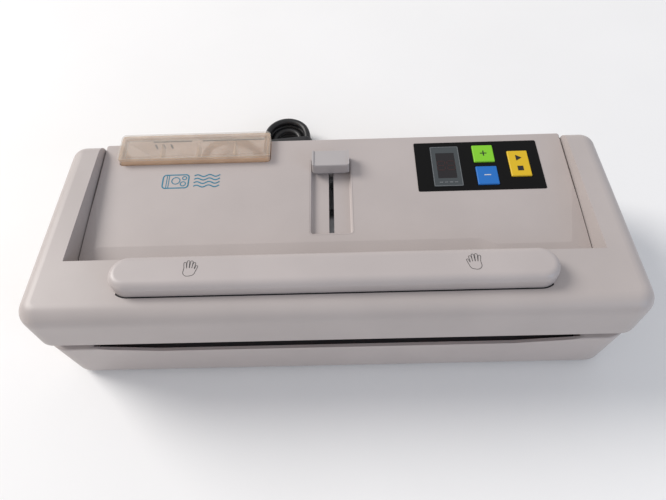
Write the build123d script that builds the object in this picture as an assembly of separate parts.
# Countertop vacuum packing machine: a low base with a flat deck, a U-shaped sprung lid that carries
# the press bar, a sliding suction nozzle, three keys and a lift-out liquid tank.
# Units are millimetres. +X right, +Y to the rear, +Z up; the origin is under the middle of the base.
# The lid group is drawn closed, and then turned up about its hinge to the sprung rest position.
from build123d import *
import math
import os

# ---- driving dimensions ----------------------------------------------------------------------
WIDTH = 393.0            # over the lid
BASE_HALF_X = 196.0      # base body half width
FRONT_Y = -76.0          # base front face
REAR_Y = 79.5            # base rear face
FEET = 3.0               # rubber feet under the base
TRAY_TOP = 20.0          # parting line of the bottom tray
RIM_Z = 48.0             # top of the base's side rims
MOUTH_Z = 41.0           # floor of the bag mouth
LIP = 2.2                # thin front lip of the bag mouth
LIP_Z = 43.0             # its top in the middle
WALL = 2.5               # moulded wall
HUMP_HALF_X = 173.0      # raised middle of the base, between the lid's arms
HUMP_FRONT_Y = -30.7
HUMP_Z = 73.0            # housing top, under the deck panel
DECK_Z = 75.0            # deck panel top
BEVEL_Y = -12.5          # rear edge of the deck's front bevel
BEVEL_FALL = 0.2         # its fall for each millimetre forward
BEVEL_JOG = (96.0, 113.0, -17.4)   # where the edge curves forward: x from, x to, y beyond

PIVOT_Y = 61.5           # lid hinge axis
PIVOT_Z = 63.0
LID_RAISE = 4.5          # degrees the springs hold the lid up
LID_HALF_X = WIDTH / 2
LID_FRONT_Y = -76.5
LID_REAR_Y = 75.5
LID_LOW_Z = 49.0
LID_TOP_Z = 83.0
RECESS_HALF_X = 173.8    # inner faces of the lid's arms
RECESS_FRONT_Y = -33.5   # rear edge of the lid's front beam
LID_WALL = 2.5
LID_EDGE_R = 11.0        # soft outer top edge of the lid
PIN_X = (163.0, 184.2)   # hinge pins, from the middle outwards

BAR_HALF_X = 138.0       # press bar on the front beam
BAR_FRONT_Y = -61.4
BAR_REAR_Y = -37.4
BAR_TOP_Z = 94.0
POCKET_DEPTH = 2.0       # shallow pocket that the press bar sits in
BEAM_CEILING = 78.2      # hollow of the front beam ends here

MOUTH_HALF_X = 160.0     # bag mouth half width
TROUGH_Y = (-60.5, -41.5)
HEATER_Y = (-69.6, -64.2)
HEATER_TOP = 46.5

TRACK_X = (-16.2, 14.8)  # slider track in the deck
TRACK_Y = (-7.0, 61.0)
KNOB_SIZE = (27.2, 14.2, 9.4)   # the part of the knob above the deck
KNOB_Y = 53.7            # knob centre, rest
NOZZLE_TIP_Y = -7.5      # nozzle tip, rest

PANEL_X = (62.0, 153.5)  # black control panel
PANEL_Y = (27.4, 72.6)
PANEL_THICK = 0.8
LENS_X = (73.5, 94.8)
LENS_Y = (31.2, 68.3)
WINDOW_X = (77.3, 91.0)
WINDOW_Y = (38.6, 62.0)
KEYS = {                 # name: (x low, x high, y low, y high)
    "button_green": (104.7, 120.7, 52.2, 68.8),
    "button_blue": (104.9, 120.9, 31.5, 48.8),
    "button_yellow": (129.9, 145.4, 38.2, 62.6),
}
KEY_GAP = 0.35
KEY_RISE = 1.2           # keys stand this far above the panel

TANK_X = (-159.4, -46.4)
TANK_Y = (59.3, 84.2)    # the tank stands a little out of the base's rear
TANK_FLOOR = 56.0
TANK_RIM_Z = 81.2
TANK_WALL = 1.8

MOTOR_X = (30.0, 84.0)   # pump motor, lying along X
MOTOR_Y = 8.0
MOTOR_Z = 31.0
MOTOR_R = 18.0

CORD_D = 6.0
CORD_EXIT = Vector(-116.0, REAR_Y, 13.5)
HANK_X = -39.5           # middle of the tied hank, lying behind the base
HANK_Y = (82.0, 159.6)
HANK_WIDTH = 42.0
HANK_TOP = 0.3 + 3 * CORD_D
HANK_TURN = 6.0          # degrees, far end to the left
TIE_Y = 8.0              # tie, from the middle of the hank

FIT = 0.3                # usual clearance between separate pieces

parts = {}


# ---- helpers ---------------------------------------------------------------------------------
def box(x, y, z):
    """A block between two coordinates on each axis."""
    size = (x[1] - x[0], y[1] - y[0], z[1] - z[0])
    middle = ((x[0] + x[1]) / 2, (y[0] + y[1]) / 2, (z[0] + z[1]) / 2)
    return Pos(*middle) * Box(*size)


def slab(x, y, z, radius):
    """A block with rounded upright corners."""
    block = box(x, y, z)
    return fillet(block.edges().filter_by(Axis.Z), radius)


def drum(radius, z, at):
    """An upright cylinder."""
    return Pos(at[0], at[1], (z[0] + z[1]) / 2) * Cylinder(radius, z[1] - z[0])


def rod_x(radius, x, at):
    """A cylinder along X, at (y, z)."""
    turned = Rot(0, 90, 0) * Cylinder(radius, x[1] - x[0])
    return Pos((x[0] + x[1]) / 2, at[0], at[1]) * turned


def rod_y(radius, y, at):
    """A cylinder along Y, at (x, z)."""
    turned = Rot(90, 0, 0) * Cylinder(radius, y[1] - y[0])
    return Pos(at[0], (y[0] + y[1]) / 2, at[1]) * turned


def group(shapes):
    """Separate solids kept in one node."""
    return Compound(list(shapes))


def raised(shape):
    """A lid piece, turned from closed to its sprung rest position."""
    to_pivot = Location((0, PIVOT_Y, PIVOT_Z))
    back = Location((0, -PIVOT_Y, -PIVOT_Z))
    turn = to_pivot * Location((0, 0, 0), (-LID_RAISE, 0, 0)) * back
    solids = [turn * solid for solid in shape.solids()]
    return solids[0] if len(solids) == 1 else group(solids)


def put(name, shape):
    """Keep a node of the base or of a piece that is drawn where it rests."""
    parts[name] = shape


def put_lid(name, shape):
    """Keep a node of the lid group."""
    parts[name] = raised(shape)


def pipe(points, radius, bend):
    """A round hose or cable: straight runs joined by tangent arcs."""
    path = FilletPolyline(*points, radius=bend)
    return sweep((path ^ 0) * Circle(radius), path=path)


# ---- base housing ----------------------------------------------------------------------------
def outline(inset, z, radius):
    """The base's plan, pulled in by inset, between two heights."""
    x = BASE_HALF_X - inset
    return slab((-x, x), (FRONT_Y + inset, REAR_Y - inset), z, radius)


def bottom_tray():
    taper = 3.0
    body = outline(0, (FEET, TRAY_TOP), 17)
    body = chamfer(body.faces().sort_by(Axis.Z)[0].edges(), taper)
    body -= outline(WALL, (FEET + WALL, TRAY_TOP + 1), 14.5)
    for x in (-150, -90, 90, 150):
        body += drum(4.0, (FEET + WALL - 0.1, TRAY_TOP), (x, -66))
        body -= drum(1.3, (FEET + 5, TRAY_TOP + 1), (x, -66))
    for x in (-150, 150):
        body += drum(4.0, (FEET + WALL - 0.1, TRAY_TOP), (x, 69))
        body -= drum(1.3, (FEET + 5, TRAY_TOP + 1), (x, 69))
    for x in (-60, -50, -40, -30, 30, 40, 50, 60):
        body -= box((x - 1.5, x + 1.5), (20, 50), (FEET - 1, FEET + WALL + 1))
    body -= rod_y(4.4, (REAR_Y - 5, REAR_Y + 2), (CORD_EXIT.X, CORD_EXIT.Z))
    return body


def mouth_cut():
    """The bag mouth: a wide slot whose front lip runs out thinly at both ends."""
    half = MOUTH_HALF_X + 2
    deep = box((-half, half), (FRONT_Y + LIP, HUMP_FRONT_Y - 0.1), (MOUTH_Z, RIM_Z + 1))
    over = RIM_Z + 2
    points = [
        (-MOUTH_HALF_X, RIM_Z), (-118, LIP_Z), (118, LIP_Z), (MOUTH_HALF_X + 3, RIM_Z),
        (MOUTH_HALF_X + 3, over), (-MOUTH_HALF_X, over),
    ]
    face = Pos(0, FRONT_Y + LIP + 0.1, 0) * make_face(Plane.XZ * Polyline(*points, close=True))
    return deep + extrude(face, amount=LIP + 5)


def bevel_cut():
    """Everything above the deck's sloping front: an edge in plan, swept forward and down."""
    x0, x1, jog_y = BEVEL_JOG
    edges = [
        Line((-190, BEVEL_Y), (x0, BEVEL_Y)).edge(),
        Spline((x0, BEVEL_Y), (x1, jog_y), tangents=((1, 0), (1, 0))).edge(),
        Line((x1, jog_y), (190, jog_y)).edge(),
    ]
    pieces = []
    for edge in edges:
        surface = Face.extrude(Pos(0, 0, DECK_Z) * edge, (0, -25, -25 * BEVEL_FALL))
        pieces.append(Solid.extrude(surface, (0, 0, 12)))
    return pieces


def upper_housing():
    low = outline(0, (TRAY_TOP, RIM_Z), 17)
    low = fillet(low.faces().sort_by(Axis.Z)[-1].edges(), 1.2)
    hump = slab((-HUMP_HALF_X, HUMP_HALF_X), (HUMP_FRONT_Y, REAR_Y), (RIM_Z - 5, HUMP_Z), 2)
    for piece in bevel_cut():
        hump -= piece
    body = low + hump
    body -= mouth_cut()
    # hollow from below
    body -= outline(WALL, (TRAY_TOP - 1, MOUTH_Z - WALL), 14.5)
    inner_x = HUMP_HALF_X - WALL
    inner = slab(
        (-inner_x, inner_x), (HUMP_FRONT_Y + WALL, REAR_Y - WALL), (MOUTH_Z - WALL - 1, HUMP_Z - WALL), 1
    )
    body -= inner
    # opening for the trough, the tank well, the slider and the nozzle
    body -= box((-152, 152), TROUGH_Y, (MOUTH_Z - 5, MOUTH_Z + 1))
    body -= box((TANK_X[0] - 1, TANK_X[1] + 1), (TANK_Y[0] - 1, REAR_Y - WALL + 0.1), (HUMP_Z - 5, HUMP_Z + 1))
    body -= box((TANK_X[0] - 1.3, TANK_X[1] + 1.3), (REAR_Y - WALL - 0.1, 100), (TANK_FLOOR - 2.4, HUMP_Z + 1))
    body -= box((TRACK_X[0] - 1, TRACK_X[1] + 1), (TRACK_Y[0] - 1, TRACK_Y[1] + 1), (HUMP_Z - 5, HUMP_Z + 1))
    body -= box((-10, 9), (HUMP_FRONT_Y - 1, HUMP_FRONT_Y + 4), (48.3, 52.1))
    body -= box((LENS_X[0], LENS_X[1]), (LENS_Y[0], LENS_Y[1]), (HUMP_Z - 5, HUMP_Z + 1))
    for x0, x1, y0, y1 in KEYS.values():
        body -= box((x0 - 0.6, x1 + 0.6), (y0 - 0.6, y1 + 0.6), (HUMP_Z - 5, HUMP_Z + 1))
    # end posts and side upstands, inside the lid's skirt
    for side in (-1, 1):
        ends = sorted((side * 164.0, side * 184.5))
        body += box(ends, (-72.6, -62.0), (RIM_Z - 2, 57.5))
        skirt = sorted((side * 189.8, side * 192.5))
        body += box(skirt, (-58.0, 40.0), (RIM_Z - 2, 57.0))
        # hinge pin bosses
        boss = sorted((side * PIN_X[0], side * (HUMP_HALF_X - 1)))
        body += rod_x(5.0, boss, (PIVOT_Y, PIVOT_Z))
        pin_hole = sorted((side * (PIN_X[0] - 1), side * (HUMP_HALF_X + 1)))
        body -= rod_x(3.0, pin_hole, (PIVOT_Y, PIVOT_Z))
    return body


def side_bevel(side):
    """Shallow bevel along the deck's side, widest in front and running out towards the rear."""
    start = Vector(side * 159.7, -20, DECK_Z)
    end = Vector(side * HUMP_HALF_X, 36, DECK_Z)
    outward = Vector(0, 0, 1).cross(end - start).normalized() * -side
    tilt = math.radians(6.5)
    normal = outward * math.sin(tilt) + Vector(0, 0, 1) * math.cos(tilt)
    plane = Plane(origin=start, x_dir=end - start, z_dir=normal)
    return plane * Pos(0, 0, 10) * Box(160, 60, 20)


def deck_panel():
    """Plate over the whole hump, bevelled in front and along both sides."""
    plate = slab((-HUMP_HALF_X, HUMP_HALF_X), (HUMP_FRONT_Y, REAR_Y), (HUMP_Z, DECK_Z), 2)
    plate = fillet(plate.faces().sort_by(Axis.Z)[-1].edges(), 1.0)
    for piece in bevel_cut():
        plate -= piece
    for side in (-1, 1):
        plate -= side_bevel(side)
    plate -= slab((TANK_X[0] - 0.6, TANK_X[1] + 0.6), (TANK_Y[0] - 0.6, 100), (HUMP_Z - 1, DECK_Z + 1), 3)
    plate -= slab(TRACK_X, TRACK_Y, (HUMP_Z - 1, DECK_Z + 1), 3)
    plate -= slab(PANEL_X, PANEL_Y, (DECK_Z - 0.5, DECK_Z + 1), 1.2)
    plate -= slab(LENS_X, LENS_Y, (HUMP_Z - 1, DECK_Z + 1), 0.8)
    for x0, x1, y0, y1 in KEYS.values():
        plate -= box((x0 - 0.6, x1 + 0.6), (y0 - 0.6, y1 + 0.6), (HUMP_Z - 1, DECK_Z + 1))
    return plate


def tank_well():
    """Tray under the deck, open above and behind, that holds the tank."""
    gap = 0.3
    wall = 0.8
    inside = box((TANK_X[0] - gap, TANK_X[1] + gap), (TANK_Y[0] - gap, 100), (TANK_FLOOR - 0.2, HUMP_Z))
    x = (TANK_X[0] - gap - wall, TANK_X[1] + gap + wall)
    y = (TANK_Y[0] - gap - wall, REAR_Y - 0.1)
    return box(x, y, (TANK_FLOOR - 2.2, HUMP_Z - WALL)) - inside


# ---- lid -------------------------------------------------------------------------------------
def lid_outer():
    body = box((-LID_HALF_X, LID_HALF_X), (LID_FRONT_Y, LID_REAR_Y), (LID_LOW_Z, LID_TOP_Z))
    upright = body.edges().filter_by(Axis.Z).sort_by(Axis.Y)
    body = fillet(upright[:2], 14.5)
    upright = body.edges().filter_by(Axis.Z).sort_by(Axis.Y)
    body = fillet(upright[-2:], LID_EDGE_R + 0.5)
    return fillet(body.faces().sort_by(Axis.Z)[-1].edges(), LID_EDGE_R)


def heel_cut(radius):
    """What lies behind and below the hinge, past a round heel about its axis."""
    corner = box((-200, 200), (PIVOT_Y, 100), (LID_LOW_Z - 5, PIVOT_Z))
    return corner - rod_x(radius, (-201, 201), (PIVOT_Y, PIVOT_Z))


def lid_shell():
    body = lid_outer()
    body -= box((-RECESS_HALF_X, RECESS_HALF_X), (RECESS_FRONT_Y, 100), (0, 200))
    heel = PIVOT_Z - LID_LOW_Z
    body -= heel_cut(heel)
    # hollow arms and beam, open below
    for side in (-1, 1):
        x = sorted((side * (RECESS_HALF_X + LID_WALL), side * (LID_HALF_X - LID_WALL)))
        cavity = box(x, (-40, LID_REAR_Y - LID_WALL), (LID_LOW_Z - 1, LID_TOP_Z - 3))
        edge = cavity.edges().filter_by(Axis.Y).group_by(Axis.Z)[-1].sort_by(Axis.X)[0 if side < 0 else -1]
        cavity = fillet(edge, 8)
        body -= cavity - heel_cut(heel - LID_WALL)
    beam_x = LID_HALF_X - LID_WALL
    beam_y = (LID_FRONT_Y + LID_WALL, RECESS_FRONT_Y - LID_WALL)
    beam = box((-beam_x, beam_x), beam_y, (LID_LOW_Z - 1, BEAM_CEILING))
    beam = fillet(beam.edges().filter_by(Axis.Z).sort_by(Axis.Y)[:2], 12)
    long_edge = beam.edges().filter_by(Axis.X).group_by(Axis.Z)[-1].sort_by(Axis.Y)[0]
    beam = chamfer(long_edge, 5)
    ends = beam.faces().sort_by(Axis.Z)[-1].edges().filter_by(Axis.Y)
    beam = chamfer(ends, 5)
    body -= beam
    body -= pocket(1.0, (LID_TOP_Z - POCKET_DEPTH, LID_TOP_Z + 5))
    # notch that the nozzle passes under the beam
    body -= box((-10, 9), (RECESS_FRONT_Y - LID_WALL - 0.5, RECESS_FRONT_Y + 0.5), (LID_LOW_Z - 1, 52.6))
    # bushes' bosses at the hinge
    for side in (-1, 1):
        boss = sorted((side * (RECESS_HALF_X + 1), side * 183.0))
        body += rod_x(8.0, boss, (PIVOT_Y, PIVOT_Z)) & box((-200, 200), (0, LID_REAR_Y - 1), (LID_LOW_Z, 100))
        bore = sorted((side * (RECESS_HALF_X - 1), side * 184.0))
        body -= rod_x(5.0, bore, (PIVOT_Y, PIVOT_Z))
    for x in SCREW_X:
        body -= drum(1.6, (70, 90), (x, BAR_MID_Y))
    return body


BAR_MID_Y = (BAR_FRONT_Y + BAR_REAR_Y) / 2
SCREW_X = (-110.0, -37.0, 37.0, 110.0)


def bar_block(inset, z):
    """The press bar's plan: a long bar with half-round ends."""
    depth = BAR_REAR_Y - BAR_FRONT_Y - 2 * inset
    x = (-BAR_HALF_X + inset, BAR_HALF_X - inset)
    y = (BAR_FRONT_Y + inset, BAR_REAR_Y - inset)
    return slab(x, y, z, depth / 2 - 0.05)


def pocket(outset, z):
    """Shallow pocket that follows the bar's front and its front corners."""
    front = box((-BAR_HALF_X + 4, BAR_HALF_X - 4), (BAR_FRONT_Y - 10, BAR_MID_Y), z)
    return bar_block(-outset, z) & front


def press_bar():
    bar = bar_block(0, (LID_TOP_Z, BAR_TOP_Z))
    bar = fillet(bar.faces().sort_by(Axis.Z)[-1].edges(), 5)
    bar -= bar_block(2.6, (LID_TOP_Z - 1, BAR_TOP_Z - 3.4))
    for x in SCREW_X:
        bar += drum(3.4, (LID_TOP_Z, BAR_TOP_Z - 3), (x, BAR_MID_Y))
        bar -= drum(1.3, (LID_TOP_Z - 1, BAR_TOP_Z - 4), (x, BAR_MID_Y))
    return bar


def press_bar_seal():
    """Black strip in the pocket, which shows as the dark line under the bar's front."""
    z = (LID_TOP_Z - POCKET_DEPTH, LID_TOP_Z - 0.4)
    return pocket(0.8, z) - bar_block(4.0, (0, 200))


def press_bar_screws():
    screws = []
    for x in SCREW_X:
        shank = drum(1.25, (BEAM_CEILING - 2.0, BAR_TOP_Z - 4.5), (x, BAR_MID_Y))
        head = drum(3.0, (BEAM_CEILING - 2.0, BEAM_CEILING), (x, BAR_MID_Y))
        screws.append(shank + head)
    return group(screws)


PLATE_Z = (57.0, 59.0)   # inner plate of the beam, closed
UPPER_GASKET_Z = (47.1, 57.0)


def lid_inner_plate():
    plate = slab((-163, 163), (-73.2, -36.6), PLATE_Z, 4)
    for x in (-150.0, -75.0, 0.0, 75.0, 150.0):
        plate += drum(3.2, (PLATE_Z[1] - 0.1, BEAM_CEILING), (x, -54.0))
    return plate


def press_strip():
    """Silicone strip that presses the bag onto the heater."""
    strip = box((-156, 156), (HEATER_Y[0] - 0.4, HEATER_Y[1] + 0.1), (50.0, PLATE_Z[0]))
    nose = box((-156, 156), (HEATER_Y[0] + 0.5, HEATER_Y[1] - 0.5), (47.0, 50.0))
    return strip + nose


def gasket(z, width):
    """A ring of soft foam around the trough."""
    y = (TROUGH_Y[0] - width, TROUGH_Y[1] + width)
    ring = slab((-152 - width, 152 + width), y, z, 6)
    return ring - slab((-152, 152), TROUGH_Y, (0, 200), 3)


def upper_gasket():
    ring = gasket(UPPER_GASKET_Z, 3.4)
    return ring - box((-10, 9), (-45, -30), (0, 52.6))


def hinge_bushes():
    bushes = []
    for side in (-1, 1):
        x = sorted((side * (RECESS_HALF_X + 0.2), side * 182.6))
        bush = rod_x(5.0, x, (PIVOT_Y, PIVOT_Z))
        bushes.append(bush - rod_x(3.06, (x[0] - 1, x[1] + 1), (PIVOT_Y, PIVOT_Z)))
    return group(bushes)


# ---- hinge pins and springs ------------------------------------------------------------------
def hinge_pins():
    pins = []
    for side in (-1, 1):
        x = sorted((side * PIN_X[0], side * PIN_X[1]))
        pins.append(rod_x(3.0, x, (PIVOT_Y, PIVOT_Z)))
    return group(pins)


def spring(x):
    """Wire torsion spring around the pin's boss: coils and two straight legs."""
    wire = 0.6
    coils = 3
    pitch = 1.7
    radius = 6.1
    helix = Helix(pitch=pitch, height=coils * pitch, radius=radius)
    turned = Rot(0, 90, 0) * helix
    path = Pos(x, PIVOT_Y, PIVOT_Z) * turned
    coil = sweep(Plane(origin=path @ 0, z_dir=path % 0) * Circle(wire), path=path, is_frenet=True)
    return coil


def lid_springs():
    return group([spring(-169.2), spring(164.1)])


# ---- sealing front ---------------------------------------------------------------------------
def heater_carrier():
    """Ledge under the heating wire, with a thin apron that lines the mouth in front of it."""
    apron = box((-160, 160), (FRONT_Y + LIP + 0.2, HEATER_Y[0] + 0.1), (MOUTH_Z, LIP_Z - 0.4))
    return box((-158, 158), HEATER_Y, (MOUTH_Z, HEATER_TOP - 0.4)) + apron


def heating_wire():
    y = ((HEATER_Y[0] + HEATER_Y[1]) / 2 - 1.5, (HEATER_Y[0] + HEATER_Y[1]) / 2 + 1.5)
    return box((-156, 156), y, (HEATER_TOP - 0.4, HEATER_TOP - 0.1))


def release_tape():
    y = (HEATER_Y[0] + 0.2, HEATER_Y[1] - 0.2)
    tape = box((-157, 157), y, (HEATER_TOP - 0.4, HEATER_TOP + 0.1))
    wire_y = ((HEATER_Y[0] + HEATER_Y[1]) / 2 - 1.5, (HEATER_Y[0] + HEATER_Y[1]) / 2 + 1.5)
    return tape - box((-156, 156), wire_y, (HEATER_TOP - 1, HEATER_TOP - 0.1))


SPIGOT = (120.0, 35.2)   # hose spigot of the trough: x, z


def vacuum_trough():
    y = (TROUGH_Y[0] + 0.2, TROUGH_Y[1] - 0.2)
    tray = slab((-151.8, 151.8), y, (MOUTH_Z - 7.5, MOUTH_Z + 0.6), 2.8)
    tray -= slab((-150, 150), (y[0] + 1.8, y[1] - 1.8), (MOUTH_Z - 6, MOUTH_Z + 2), 2)
    tray -= rod_y(1.9, (-50, -30), SPIGOT)
    spigot = rod_y(3.0, (TROUGH_Y[1] - 0.4, -33), SPIGOT)
    return tray + (spigot - rod_y(1.9, (-50, -30), SPIGOT))


# ---- slider and nozzle -----------------------------------------------------------------------
CARRIAGE_Z = (58.0, 66.0)
BLADE_Z = (48.9, 51.5)


def slider_track():
    """Dished insert in the deck, with a slot for the knob's stem."""
    x = (TRACK_X[0] + 0.1, TRACK_X[1] - 0.1)
    y = (TRACK_Y[0] + 0.1, TRACK_Y[1] - 0.1)
    floor = DECK_Z - 3.6
    tray = slab(x, y, (floor - 1.4, DECK_Z), 2.9)
    dish = slab((x[0] + 1.2, x[1] - 1.2), (y[0] + 1.2, y[1] - 1.2), (floor, DECK_Z + 1), 1.7)
    tray -= fillet(dish.faces().sort_by(Axis.Z)[0].edges(), 1.2)
    tray = chamfer(tray.faces().sort_by(Axis.Z)[-1].inner_wires()[0].edges(), 0.5)
    mid = (TRACK_X[0] + TRACK_X[1]) / 2
    tray -= box((mid - 1.75, mid + 1.75), (y[0] + 3.5, y[1] - 2.6), (0, 100))
    return tray


def slider_knob():
    """Block with raised side ridges above the track, a foot in the track and a stem through its slot."""
    mid = (TRACK_X[0] + TRACK_X[1]) / 2
    half_x = KNOB_SIZE[0] / 2
    half_y = KNOB_SIZE[1] / 2
    ridge = 1.3
    top = DECK_Z + KNOB_SIZE[2]
    knob = box((mid - half_x, mid + half_x), (KNOB_Y - half_y, KNOB_Y + half_y), (DECK_Z + FIT, top))
    knob = fillet(knob.edges().filter_by(Axis.Z), 1.6)
    dish = box((mid - half_x + ridge, mid + half_x - ridge), (KNOB_Y - 20, KNOB_Y + 20), (top - 0.7, top + 1))
    knob -= dish
    knob = chamfer(knob.edges().filter_by(Axis.X).filter_by_position(Axis.Z, top - 0.8, top + 0.1), 0.5)
    foot = slab((mid - 12.2, mid + 12.2), (KNOB_Y - 5.8, KNOB_Y + 4.3), (DECK_Z - 3.2, DECK_Z + FIT + 0.1), 2)
    foot = chamfer(foot.faces().sort_by(Axis.Z)[0].edges(), 1.2)
    stem = box((mid - 1.4, mid + 1.4), (KNOB_Y - 4, KNOB_Y + 4), (CARRIAGE_Z[1], DECK_Z - 3.1))
    return knob + foot + stem


def slider_carriage():
    """Plate that carries the nozzle under the deck, with a hose spigot behind."""
    mid = (TRACK_X[0] + TRACK_X[1]) / 2
    plate = box((mid - 16, mid + 16), (KNOB_Y - 9, KNOB_Y + 9), CARRIAGE_Z)
    for side in (-1, 1):
        plate -= rod_y(2.3, (0, 100), (mid + side * 12, 62.0))
    arm = box((mid - 4, mid + 4), (26.0, KNOB_Y + 2), (BLADE_Z[1], CARRIAGE_Z[0] + 0.1))
    return plate + arm


def suction_nozzle():
    """Flat hollow nozzle that enters the bag's mouth."""
    blade = box((-8, 7), (NOZZLE_TIP_Y, 46), BLADE_Z)
    blade = fillet(blade.edges().filter_by(Axis.Y), 1.0)
    return blade - box((-6.2, 5.2), (NOZZLE_TIP_Y - 1, 42), (BLADE_Z[0] + 0.7, BLADE_Z[1] - 0.7))


def guide_rails():
    mid = (TRACK_X[0] + TRACK_X[1]) / 2
    rails = []
    for side in (-1, 1):
        rails.append(rod_y(2.0, (HUMP_FRONT_Y + WALL, REAR_Y - WALL), (mid + side * 12, 62.0)))
    return group(rails)


# ---- control panel ---------------------------------------------------------------------------
def control_panel():
    z = (DECK_Z - 0.5, DECK_Z - 0.5 + PANEL_THICK)
    panel = slab((PANEL_X[0] + 0.1, PANEL_X[1] - 0.1), (PANEL_Y[0] + 0.1, PANEL_Y[1] - 0.1), z, 1.1)
    panel -= slab(LENS_X, LENS_Y, (0, 100), 0.8)
    for x0, x1, y0, y1 in KEYS.values():
        panel -= box((x0, x1), (y0, y1), (0, 100))
    return panel


def display_lens():
    z_top = DECK_Z + 0.6
    x = (LENS_X[0] + 0.1, LENS_X[1] - 0.1)
    y = (LENS_Y[0] + 0.1, LENS_Y[1] - 0.1)
    lens = slab(x, y, (DECK_Z - 1.5, z_top), 0.7)
    return lens - box(WINDOW_X, WINDOW_Y, (z_top - 0.4, z_top + 1))


def display_window():
    x = (WINDOW_X[0] + 0.1, WINDOW_X[1] - 0.1)
    y = (WINDOW_Y[0] + 0.1, WINDOW_Y[1] - 0.1)
    return box(x, y, (DECK_Z + 0.2, DECK_Z + 0.5))


BOARD_Z = (64.0, 65.6)


def display_module():
    return box((LENS_X[0] + 1, LENS_X[1] - 1), (LENS_Y[0] + 2, LENS_Y[1] - 2), (BOARD_Z[1], DECK_Z - 1.6))


def key(bounds):
    x0, x1, y0, y1 = bounds
    x = (x0 + KEY_GAP, x1 - KEY_GAP)
    y = (y0 + KEY_GAP, y1 - KEY_GAP)
    cap = box(x, y, (DECK_Z - 3.0, DECK_Z + KEY_RISE))
    cap = fillet(cap.edges().filter_by(Axis.Z), 0.8)
    cap = chamfer(cap.faces().sort_by(Axis.Z)[-1].edges(), 0.5)
    mid = ((x0 + x1) / 2, (y0 + y1) / 2)
    return cap + drum(1.6, (69.6, DECK_Z - 2.9), mid)


def control_board():
    board = box((66, 150), (28, 71), BOARD_Z)
    return board


def board_parts():
    """Switches under the keys and the larger components."""
    pieces = []
    for x0, x1, y0, y1 in KEYS.values():
        mid = ((x0 + x1) / 2, (y0 + y1) / 2)
        body = box((mid[0] - 3, mid[0] + 3), (mid[1] - 3, mid[1] + 3), (BOARD_Z[1], BOARD_Z[1] + 3.0))
        pieces.append(body)
    pieces.append(box((100, 110), (28, 38), (BOARD_Z[0] - 1.6, BOARD_Z[0])))
    pieces.append(box((125, 141), (54, 64), (BOARD_Z[0] - 9, BOARD_Z[0])))
    pieces.append(drum(4.0, (BOARD_Z[0] - 11, BOARD_Z[0]), (75, 34)))
    pieces.append(drum(4.0, (BOARD_Z[0] - 11, BOARD_Z[0]), (86, 34)))
    return group(pieces)


# ---- tank ------------------------------------------------------------------------------------
def tank_body():
    x = TANK_X
    y = (TANK_Y[0], TANK_Y[1] - 0.5)
    body = box(x, y, (TANK_FLOOR, TANK_RIM_Z - 1.5))
    low = TANK_FLOOR - 4
    slope = make_face(Plane.XZ * Polyline((x[0] - 1, low), (x[0] + 16, low), (x[0] - 1, low + 22), close=True))
    body -= Pos(0, 100, 0) * extrude(slope, amount=100)
    body = fillet(body.edges().filter_by(Axis.Z), 2.5)
    w = TANK_WALL
    inside = box((x[0] + w, x[1] - w), (y[0] + w, y[1] - w), (TANK_FLOOR + w, 100))
    slope_in = make_face(Plane.XZ * Polyline((x[0], low), (x[0] + 19.5, low), (x[0], low + 25.2), close=True))
    inside -= Pos(0, 100, 0) * extrude(slope_in, amount=100)
    body -= inside
    step = (x[1] - x[0]) / 4
    rib_y = (y[0] + w - 0.1, y[1] - w + 0.1)
    for i in (1, 2, 3):
        rib_x = x[0] + i * step
        rib = box((rib_x - 0.7, rib_x + 0.7), rib_y, (TANK_FLOOR + 1, TANK_RIM_Z - 9))
        body += rib - rod_y(6, (0, 100), (rib_x, TANK_FLOOR + 3))
    return body


def tank_cover():
    x = (TANK_X[0] - 0.4, TANK_X[1] + 0.4)
    y = (TANK_Y[0] - 0.4, TANK_Y[1] - 0.1)
    cover = slab(x, y, (TANK_RIM_Z - 1.5, TANK_RIM_Z), 3.5)
    cover = fillet(cover.faces().sort_by(Axis.Z)[-1].edges(), 0.6)
    lip = box((x[0] + 3.2, x[1] - 3.2), (y[0] + 3.2, y[1] - 3.2), (TANK_RIM_Z - 3.6, TANK_RIM_Z - 1.4))
    hollow = box((x[0] + 4.6, x[1] - 4.6), (y[0] + 4.6, y[1] - 4.6), (TANK_RIM_Z - 5, TANK_RIM_Z - 1.5))
    return cover + (lip - hollow)


# ---- pump, electrics and hoses ---------------------------------------------------------------
def pump_motor():
    can = rod_x(MOTOR_R, MOTOR_X, (MOTOR_Y, MOTOR_Z))
    can -= rod_x(MOTOR_R - 1.5, (MOTOR_X[0] + 1.5, MOTOR_X[1] - 2), (MOTOR_Y, MOTOR_Z))
    return can - rod_x(3.3, (MOTOR_X[0] - 1, MOTOR_X[1] + 1), (MOTOR_Y, MOTOR_Z))


def motor_bearings():
    pieces = []
    for x in ((MOTOR_X[0] - 2.2, MOTOR_X[0] - 0.1), (MOTOR_X[1] + 0.1, MOTOR_X[1] + 2.2)):
        ring = rod_x(5.5, x, (MOTOR_Y, MOTOR_Z))
        pieces.append(ring - rod_x(2.55, (x[0] - 1, x[1] + 1), (MOTOR_Y, MOTOR_Z)))
    return group(pieces)


def motor_rotor():
    shaft = rod_x(2.5, (MOTOR_X[0] - 6, MOTOR_X[1] + 14), (MOTOR_Y, MOTOR_Z))
    core = rod_x(13.0, (MOTOR_X[0] + 8, MOTOR_X[1] - 10), (MOTOR_Y, MOTOR_Z))
    return shaft + core


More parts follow.
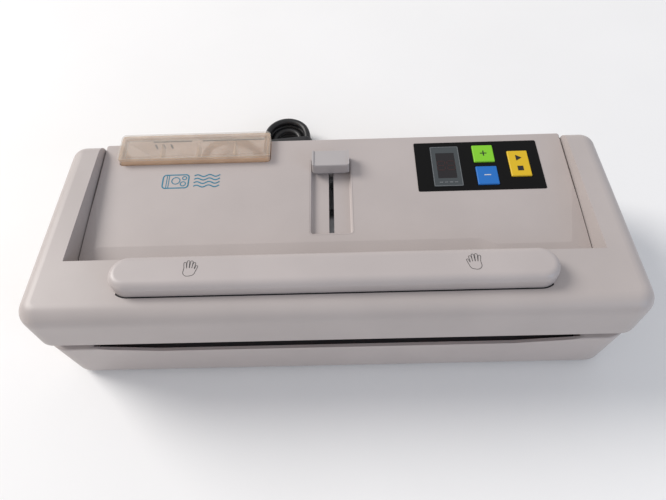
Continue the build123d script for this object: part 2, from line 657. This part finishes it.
def crank_hub():
    hub = rod_x(7.0, (MOTOR_X[1] + 5, MOTOR_X[1] + 12), (MOTOR_Y, MOTOR_Z))
    hub += rod_x(2.0, (MOTOR_X[1] + 11.9, MOTOR_X[1] + 17), (MOTOR_Y + 4.4, MOTOR_Z))
    return hub - rod_x(2.5, (MOTOR_X[1], MOTOR_X[1] + 14.0), (MOTOR_Y, MOTOR_Z))


def pump_block():
    """Gear and crank case, open towards the motor, with the pump's head behind it."""
    case = box((86.5, 116), (-14, 30), (9.0, 53.0))
    case -= rod_x(12.5, (86, 108), (MOTOR_Y, MOTOR_Z))
    return fillet(case.edges().filter_by(Axis.X), 3)


def pump_head():
    head = slab((116.0, 132), (-12, 28), (11.0, 51.0), 2)
    for y in (-3, 19):
        head += rod_x(3.0, (131.9, 141), (y, 40.0))
        head -= rod_x(1.7, (125, 142), (y, 40.0))
    return head


def pump_mounts():
    pieces = []
    for x, y in ((36, -10), (36, 26), (111, -10), (111, 26)):
        top = 9.0 if x > 60 else 13.4
        pieces.append(drum(4.5, (FEET + WALL, top), (x, y)))
    return group(pieces)


def motor_cradle():
    cradle = box((31, 41), (-15, 31), (13.4, 28))
    return cradle - rod_x(MOTOR_R, (20, 60), (MOTOR_Y, MOTOR_Z))


def transformer():
    core = box((-150, -98), (-24, 22), (FEET + WALL, 42.5))
    return fillet(core.edges().filter_by(Axis.Z), 1.5)


def transformer_winding():
    coil = box((-142, -106), (-24, 22), (42.5, 54.0))
    coil = fillet(coil.edges().filter_by(Axis.Y).group_by(Axis.Z)[-1], 4)
    return coil


def release_valve():
    body = box((-82, -62), (-24, -4), (FEET + WALL, 34))
    body += drum(3.0, (33.9, 42), (-72, -14))
    return body - drum(1.6, (30, 43), (-72, -14))


def vacuum_hose():
    """From the pump's head to the trough's spigot."""
    x, z = SPIGOT
    points = [(141.0, -3.0, 40.0), (154.0, -3.0, 40.0), (154.0, -20.0, z), (x, -20.0, z), (x, -33.0, z)]
    return pipe(points, 3.1, 5.0)


def lid_switch():
    body = box((-146, -132), (-20, -13), (56, 66))
    lever = box((-145, -133), (-21.4, -20.6), (58, 68))
    return body + lever + box((-146, -144), (-21.4, -19.9), (58, 60))


def rubber_feet():
    pieces = []
    for x in (-165, 165):
        for y in (-55, 56):
            pieces.append(drum(8.0, (0, FEET), (x, y)))
    return group(pieces)


def case_screws():
    pieces = []
    for x, y in ((-150, -66), (-90, -66), (90, -66), (150, -66), (-150, 69), (150, 69)):
        pieces.append(drum(1.3, (FEET + 5.0, TRAY_TOP), (x, y)))
    return group(pieces)


# ---- mains lead ------------------------------------------------------------------------------
def strain_relief():
    """Tapered sleeve with a flange inside the rear wall."""
    y0 = REAR_Y
    x, z = CORD_EXIT.X, CORD_EXIT.Z
    cone = Pos(x, y0 + 14, z) * Rot(-90, 0, 0) * Cone(5.4, 3.9, 28)
    neck = rod_y(4.3, (y0 - WALL - 1.5, y0 + 0.2), (x, z))
    flange = rod_y(6.0, (y0 - WALL - 3, y0 - WALL), (x, z))
    return cone + neck + flange


LEAD_ROUTE = [
    (-116.0, 107.5, 13.5),
    (-116.0, 121.0, 13.2),
    (-113.0, 133.5, 9.6),
    (-104.5, 142.5, 5.6),
    (-92.5, 146.2, 3.5),
    (-80.0, 142.6, 3.3),
    (-71.5, 133.2, 3.3),
    (-66.5, 120.8, 3.3),
    (-61.5, 109.2, 3.3),
    (-57.0, 98.2, 3.3),
]
TAIL_ROUTE = [
    (-31.0, 85.8, 15.3),
    (-19.0, 86.6, 14.4),
    (-7.0, 88.0, 11.6),
    (5.0, 89.7, 8.0),
    (17.0, 91.5, 5.0),
    (29.0, 94.0, 4.0),
    (40.5, 97.2, 6.0),
    (51.5, 98.9, 8.8),
    (63.0, 99.0, 9.0),
]


def cord_tube(name, route):
    """Straight runs with tangent arcs, each arc as large as its two runs allow."""
    points = [Vector(*p) for p in route]
    radii = []
    for before, here, after in zip(points, points[1:], points[2:]):
        turn = math.radians((here - before).get_angle(after - here))
        short = min((here - before).length, (after - here).length)
        radii.append(0.45 * short / math.tan(turn / 2))
    path = FilletPolyline(*points, radius=radii)
    tube = sweep((path ^ 0) * Circle(CORD_D / 2), path=path)
    expected = math.pi * (CORD_D / 2) ** 2 * path.length
    print(name, "arc radii", [round(r, 1) for r in radii])
    print(name, "length", round(path.length, 1), "volume ratio", round(tube.volume / expected, 4))
    return tube


def hank_place(shape):
    """Turns what lies along Y at the middle of the hank to where the hank lies."""
    return Pos(HANK_X, (HANK_Y[0] + HANK_Y[1]) / 2, 0) * Rot(0, 0, HANK_TURN) * shape


def cord_hank():
    """The put-away turns: one closed ring with round ends, lying flat behind the base."""
    out = HANK_WIDTH / 2
    reach = (HANK_Y[1] - HANK_Y[0]) / 2
    hole = out - 2 * CORD_D
    block = slab((-out, out), (-reach, reach), (0.3, HANK_TOP), out - 0.05)
    block -= slab((-hole, hole), (-reach + 2 * CORD_D, reach - 2 * CORD_D), (-1, HANK_TOP + 1), hole - 0.05)
    return hank_place(block)


def cord_tie():
    """Flat tie around the middle of the hank, resting on the surface under it."""
    out = HANK_WIDTH / 2
    block = box((-out - 1.5, out + 1.5), (TIE_Y - 4.5, TIE_Y + 4.5), (0.0, HANK_TOP + 1.6))
    block = fillet(block.edges().filter_by(Axis.Y), 3.0)
    return hank_place(block - box((-out - 0.2, out + 0.2), (TIE_Y - 10, TIE_Y + 10), (0.3, HANK_TOP + 0.2)))


def plug_body():
    """Moulded plug lying on its side."""
    x = TAIL_ROUTE[-1][0]
    y = TAIL_ROUTE[-1][1]
    body = box((x, x + 34), (y - 12, y + 12), (0.4, 17.6))
    body = fillet(body.edges().filter_by(Axis.X), 5)
    return fillet(body.faces().sort_by(Axis.X)[0].edges(), 2.5)


def plug_pins():
    pins = []
    x = TAIL_ROUTE[-1][0] + 34
    for side in (-9.5, 9.5):
        pins.append(rod_x(2.2, (x, x + 18), (TAIL_ROUTE[-1][1] + side, 9.0)))
    return group(pins)


def build():
    put("bottom_tray", bottom_tray())
    put("upper_housing", upper_housing())
    put("deck_panel", deck_panel())
    put("tank_well", tank_well())
    put_lid("lid_shell", lid_shell())
    put_lid("press_bar", press_bar())
    put_lid("press_bar_seal", press_bar_seal())
    put_lid("press_bar_screws", press_bar_screws())
    put_lid("lid_inner_plate", lid_inner_plate())
    put_lid("press_strip", press_strip())
    put_lid("upper_gasket", upper_gasket())
    put_lid("hinge_bushes", hinge_bushes())
    put("hinge_pins", hinge_pins())
    put("lid_springs", lid_springs())
    put("heater_carrier", heater_carrier())
    put("heating_wire", heating_wire())
    put("release_tape", release_tape())
    put("vacuum_trough", vacuum_trough())
    put("lower_gasket", gasket((MOUTH_Z, 46.8), 3.4))
    put("slider_track", slider_track())
    put("slider_knob", slider_knob())
    put("slider_carriage", slider_carriage())
    put("suction_nozzle", suction_nozzle())
    put("guide_rails", guide_rails())
    put("control_panel", control_panel())
    put("display_lens", display_lens())
    put("display_window", display_window())
    put("display_module", display_module())
    for name, bounds in KEYS.items():
        put(name, key(bounds))
    put("control_board", control_board())
    put("board_parts", board_parts())
    put("tank_body", tank_body())
    put("tank_cover", tank_cover())
    put("pump_motor", pump_motor())
    put("motor_bearings", motor_bearings())
    put("motor_rotor", motor_rotor())
    put("crank_hub", crank_hub())
    put("pump_block", pump_block())
    put("pump_head", pump_head())
    put("pump_mounts", pump_mounts())
    put("motor_cradle", motor_cradle())
    put("transformer", transformer())
    put("transformer_winding", transformer_winding())
    put("release_valve", release_valve())
    put("vacuum_hose", vacuum_hose())
    put("lid_switch", lid_switch())
    put("rubber_feet", rubber_feet())
    put("case_screws", case_screws())
    put("strain_relief", strain_relief())
    put("cord_lead", cord_tube("cord_lead", LEAD_ROUTE))
    put("cord_tail", cord_tube("cord_tail", TAIL_ROUTE))
    put("cord_hank", cord_hank())
    put("cord_tie", cord_tie())
    put("plug_body", plug_body())
    put("plug_pins", plug_pins())


build()
os.makedirs("parts", exist_ok=True)
for name, shape in parts.items():
    export_step(shape, "parts/" + name + ".step")
